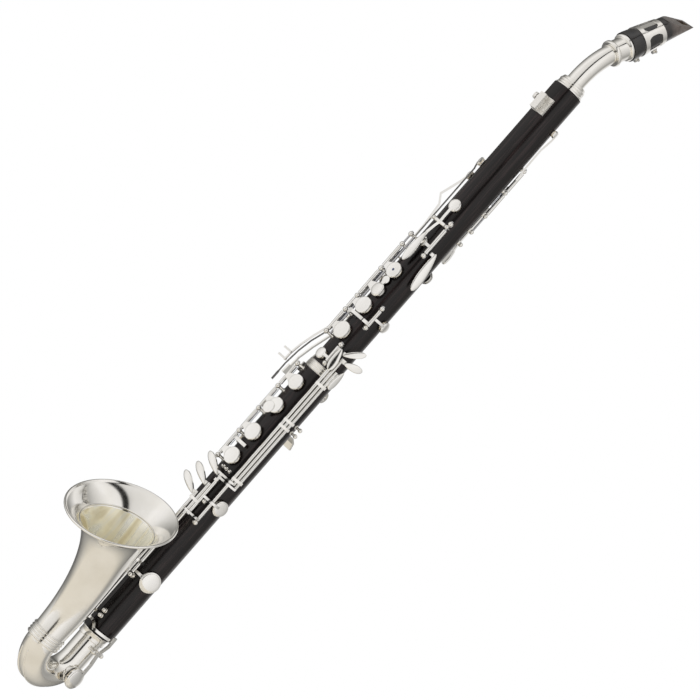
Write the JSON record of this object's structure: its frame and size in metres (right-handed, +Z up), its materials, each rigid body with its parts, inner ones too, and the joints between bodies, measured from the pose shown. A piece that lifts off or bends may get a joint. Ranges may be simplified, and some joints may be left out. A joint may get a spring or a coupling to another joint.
{
  "type": "alto clarinet",
  "caption": "Alto clarinet with covered finger plates, a bent metal neck with mouthpiece and reed, and a metal bow with an upturned bell.",
  "frame": {"origin": "centre of the strap ring's eye, on the back of the lower joint, where the instrument hangs", "axes": "+Z up the body towards the mouthpiece, +X along the eye's bore towards the player's left hand side, -Y the front with the finger plates and the bell's mouth"},
  "size_m": [0.1096, 0.2127, 0.8935],
  "materials": {
    "grenadilla": "oiled, satin",
    "silver_plate": "polished silver plate",
    "key_plate": "polished nickel-silver keys, silver plated",
    "steel": "turned",
    "blued_steel": "blued needle springs",
    "cork": "matt cork",
    "ebonite": "polished hard rubber",
    "cane": "natural",
    "pad_skin": "soft pad"
  },
  "bodies": {
    "body": {"upper_joint": "grenadilla", "lower_joint": "grenadilla", "middle_rings": "silver_plate", "tenon_corks": "cork", "bow": "silver_plate", "bell_ring": "silver_plate", "bell": "silver_plate", "neck_socket_ring": "silver_plate", "lyre_socket": "silver_plate", "plate_screws": "silver_plate", "strap_ring": "silver_plate", "thumb_rest": "silver_plate", "posts_upper": "silver_plate", "posts_lower": "silver_plate", "hinge_rods_upper": "steel", "hinge_rods_lower": "steel", "needle_springs": "blued_steel"},
    "neck": {"neck_tube": "silver_plate", "neck_receiver": "silver_plate", "neck_cork": "cork"},
    "mouthpiece_end": {"mouthpiece": "ebonite", "reed": "cane", "ligature": "silver_plate"},
    "ligature_screw_lower": {"ligature_screw_lower": "silver_plate"},
    "ligature_screw_upper": {"ligature_screw_upper": "silver_plate"},
    "lyre_screw": {"lyre_screw": "silver_plate"},
    "register_touch_key": {"register_touch_key": "key_plate"},
    "register_vent_key": {"register_vent_key": "key_plate"},
    "thumb_key": {"thumb_key": "key_plate"},
    "throat_a_key": {"throat_a_key": "key_plate"},
    "throat_g_sharp_key": {"throat_g_sharp_key": "key_plate"},
    "side_key_1": {"side_key_1": "key_plate"},
    "side_key_2": {"side_key_2": "key_plate"},
    "side_key_3": {"side_key_3": "key_plate"},
    "side_key_4": {"side_key_4": "key_plate"},
    "lh_index_key": {"lh_index_key": "key_plate", "lh_index_pad": "pad_skin"},
    "linked_key": {"linked_key": "key_plate"},
    "lh_middle_key": {"lh_middle_key": "key_plate", "lh_middle_pad": "pad_skin"},
    "lh_ring_key": {"lh_ring_key": "key_plate", "lh_ring_pad": "pad_skin"},
    "cross_key": {"cross_key": "key_plate"},
    "c_sharp_key": {"c_sharp_key": "key_plate"},
    "rh_index_key": {"rh_index_key": "key_plate", "rh_index_pad": "pad_skin"},
    "rh_middle_key": {"rh_middle_key": "key_plate", "rh_middle_pad": "pad_skin"},
    "rh_ring_key": {"rh_ring_key": "key_plate", "rh_ring_pad": "pad_skin"},
    "rh_lower_key": {"rh_lower_key": "key_plate", "rh_lower_pad": "pad_skin"},
    "sliver_key": {"sliver_key": "key_plate"},
    "lh_pinky_lever_1": {"lh_pinky_lever_1": "key_plate"},
    "lh_pinky_lever_2": {"lh_pinky_lever_2": "key_plate"},
    "lh_pinky_lever_3": {"lh_pinky_lever_3": "key_plate"},
    "rh_pinky_key_1": {"rh_pinky_key_1": "key_plate"},
    "rh_pinky_key_2": {"rh_pinky_key_2": "key_plate"},
    "rh_pinky_key_3": {"rh_pinky_key_3": "key_plate"},
    "low_key": {"low_key": "key_plate"}
  },
  "joints": [
    {"name": "neck_turn", "type": "hinge", "parent": "body", "child": "neck", "pos_m": [0, -0.0255, 0.374], "axis": [0, 0, 1], "range_deg": [-20, 20]},
    {"name": "mouthpiece_turn", "type": "hinge", "parent": "neck", "child": "mouthpiece_end", "pos_m": [0, -0.00257, 0.44499], "axis": [0, 0.5592, 0.829], "range_deg": [-15, 15]},
    {"name": "ligature_screw_lower_turn", "type": "hinge", "parent": "mouthpiece_end", "child": "ligature_screw_lower", "pos_m": [0, 0.01896, 0.44615], "axis": [1, 0, 0], "continuous": true},
    {"name": "ligature_screw_upper_turn", "type": "hinge", "parent": "mouthpiece_end", "child": "ligature_screw_upper", "pos_m": [0, 0.03182, 0.46522], "axis": [1, 0, 0], "continuous": true},
    {"name": "lyre_screw_turn", "type": "hinge", "parent": "body", "child": "lyre_screw", "pos_m": [-0.006, -0.0467, 0.3498], "axis": [1, 0, 0], "continuous": true},
    {"name": "register_touch_press", "type": "hinge", "parent": "body", "child": "register_touch_key", "pos_m": [0.01513, -0.01368, 0.24], "axis": [0, 0, 1], "range_deg": [0, 8], "stiffness_Nm_per_rad": 0.02, "springref_deg": -17.19},
    {"name": "register_vent_press", "type": "hinge", "parent": "body", "child": "register_vent_key", "pos_m": [0.01513, -0.01368, 0.276], "axis": [0, 0, 1], "range_deg": [0, 8], "stiffness_Nm_per_rad": 0.02, "springref_deg": -17.19},
    {"name": "thumb_press", "type": "hinge", "parent": "body", "child": "thumb_key", "pos_m": [-0.01005, -0.0066, 0.152], "axis": [0, 0, -1], "range_deg": [0, 6], "stiffness_Nm_per_rad": 0.02, "springref_deg": -17.19},
    {"name": "throat_a_press", "type": "hinge", "parent": "body", "child": "throat_a_key", "pos_m": [0.00271, -0.04481, 0.199], "axis": [0.9903, 0.1392, 0], "range_deg": [0, 4], "stiffness_Nm_per_rad": 0.02, "springref_deg": -17.19},
    {"name": "throat_g_sharp_press", "type": "hinge", "parent": "body", "child": "throat_g_sharp_key", "pos_m": [0.01176, -0.04229, 0.184], "axis": [0, 0, 1], "range_deg": [0, 6], "stiffness_Nm_per_rad": 0.02, "springref_deg": -17.19},
    {"name": "side_1_press", "type": "hinge", "parent": "body", "child": "side_key_1", "pos_m": [-0.01615, -0.03812, 0.149], "axis": [0.6157, -0.788, 0], "range_deg": [0, 1.2], "stiffness_Nm_per_rad": 0.02, "springref_deg": -17.19},
    {"name": "side_2_press", "type": "hinge", "parent": "body", "child": "side_key_2", "pos_m": [-0.0195, -0.03184, 0.134], "axis": [0.309, -0.9511, 0], "range_deg": [0, 1.5], "stiffness_Nm_per_rad": 0.02, "springref_deg": -17.19},
    {"name": "side_3_press", "type": "hinge", "parent": "body", "child": "side_key_3", "pos_m": [-0.02049, -0.02479, 0.074], "axis": [-0.0349, -0.9994, 0], "range_deg": [0, 2.5], "stiffness_Nm_per_rad": 0.02, "springref_deg": -17.19},
    {"name": "side_4_press", "type": "hinge", "parent": "body", "child": "side_key_4", "pos_m": [-0.01901, -0.01782, 0.056], "axis": [-0.3746, -0.9272, 0], "range_deg": [0, 2.5], "stiffness_Nm_per_rad": 0.02, "springref_deg": -17.19},
    {"name": "lh_index_press", "type": "hinge", "parent": "body", "child": "lh_index_key", "pos_m": [-0.01478, -0.04441, 0.136], "axis": [0, 0, 1], "range_deg": [0, 6], "stiffness_Nm_per_rad": 0.02, "springref_deg": -17.19},
    {"name": "linked_press", "type": "hinge", "parent": "body", "child": "linked_key", "pos_m": [-0.01478, -0.04441, 0.112], "axis": [0, 0, 1], "range_deg": [0, 6], "stiffness_Nm_per_rad": 0.02, "springref_deg": -17.19},
    {"name": "lh_middle_press", "type": "hinge", "parent": "body", "child": "lh_middle_key", "pos_m": [-0.01478, -0.04441, 0.092], "axis": [0, 0, 1], "range_deg": [0, 6], "stiffness_Nm_per_rad": 0.02, "springref_deg": -17.19},
    {"name": "lh_ring_press", "type": "hinge", "parent": "body", "child": "lh_ring_key", "pos_m": [-0.01478, -0.04441, 0.061], "axis": [0, 0, 1], "range_deg": [0, 6], "stiffness_Nm_per_rad": 0.02, "springref_deg": -17.19},
    {"name": "cross_press", "type": "hinge", "parent": "body", "child": "cross_key", "pos_m": [0.01439, -0.03939, 0.089], "axis": [0, 0, -1], "range_deg": [0, 5], "stiffness_Nm_per_rad": 0.02, "springref_deg": -17.19},
    {"name": "c_sharp_press", "type": "hinge", "parent": "body", "child": "c_sharp_key", "pos_m": [0.00866, -0.04408, 0.038], "axis": [0, 0, 1], "range_deg": [0, 8], "stiffness_Nm_per_rad": 0.02, "springref_deg": -17.19},
    {"name": "rh_index_press", "type": "hinge", "parent": "body", "child": "rh_index_key", "pos_m": [-0.01474, -0.04507, -0.005], "axis": [0, 0, 1], "range_deg": [0, 6], "stiffness_Nm_per_rad": 0.02, "springref_deg": -17.19},
    {"name": "rh_middle_press", "type": "hinge", "parent": "body", "child": "rh_middle_key", "pos_m": [-0.01474, -0.04507, -0.034], "axis": [0, 0, 1], "range_deg": [0, 6], "stiffness_Nm_per_rad": 0.02, "springref_deg": -17.19},
    {"name": "rh_ring_press", "type": "hinge", "parent": "body", "child": "rh_ring_key", "pos_m": [-0.01474, -0.04507, -0.067], "axis": [0, 0, 1], "range_deg": [0, 6], "stiffness_Nm_per_rad": 0.02, "springref_deg": -17.19},
    {"name": "rh_lower_press", "type": "hinge", "parent": "body", "child": "rh_lower_key", "pos_m": [-0.01474, -0.04507, -0.097], "axis": [0, 0, 1], "range_deg": [0, 6], "stiffness_Nm_per_rad": 0.02, "springref_deg": -17.19},
    {"name": "sliver_press", "type": "hinge", "parent": "body", "child": "sliver_key", "pos_m": [-0.01474, -0.04507, -0.082], "axis": [0, 0, 1], "range_deg": [0, 5], "stiffness_Nm_per_rad": 0.02, "springref_deg": -17.19},
    {"name": "lh_pinky_lever_1_press", "type": "hinge", "parent": "body", "child": "lh_pinky_lever_1", "pos_m": [0.01494, -0.04097, -0.066], "axis": [0, 0, -1], "range_deg": [0, 3], "stiffness_Nm_per_rad": 0.02, "springref_deg": -17.19},
    {"name": "lh_pinky_lever_2_press", "type": "hinge", "parent": "body", "child": "lh_pinky_lever_2", "pos_m": [0.0175, -0.03798, -0.036], "axis": [0, 0, 1], "range_deg": [0, 4], "stiffness_Nm_per_rad": 0.02, "springref_deg": -17.19},
    {"name": "lh_pinky_lever_3_press", "type": "hinge", "parent": "body", "child": "lh_pinky_lever_3", "pos_m": [0.01949, -0.03459, -0.036], "axis": [0, 0, 1], "range_deg": [0, 4], "stiffness_Nm_per_rad": 0.02, "springref_deg": -17.19},
    {"name": "rh_pinky_1_press", "type": "hinge", "parent": "body", "child": "rh_pinky_key_1", "pos_m": [0.00575, -0.04694, -0.141], "axis": [0, 0, -1], "range_deg": [0, 4], "stiffness_Nm_per_rad": 0.02, "springref_deg": -17.19},
    {"name": "rh_pinky_2_press", "type": "hinge", "parent": "body", "child": "rh_pinky_key_2", "pos_m": [0.00232, -0.04758, -0.186], "axis": [0, 0, -1], "range_deg": [0, 4], "stiffness_Nm_per_rad": 0.02, "springref_deg": -17.19},
    {"name": "rh_pinky_3_press", "type": "hinge", "parent": "body", "child": "rh_pinky_key_3", "pos_m": [-0.0027, -0.04754, -0.226], "axis": [0, 0, -1], "range_deg": [0, 4], "stiffness_Nm_per_rad": 0.02, "springref_deg": -17.19},
    {"name": "low_press", "type": "hinge", "parent": "body", "child": "low_key", "pos_m": [0.0185, -0.0255, -0.324], "axis": [0, 1, 0], "range_deg": [0, 5], "stiffness_Nm_per_rad": 0.02, "springref_deg": -17.19}
  ],
  "couplings": [
    {"joint": "register_vent_press", "follows": "register_touch_press", "ratio": 1},
    {"joint": "linked_press", "follows": "lh_index_press", "ratio": 1},
    {"joint": "low_press", "follows": "rh_pinky_3_press", "ratio": 1.25}
  ]
}
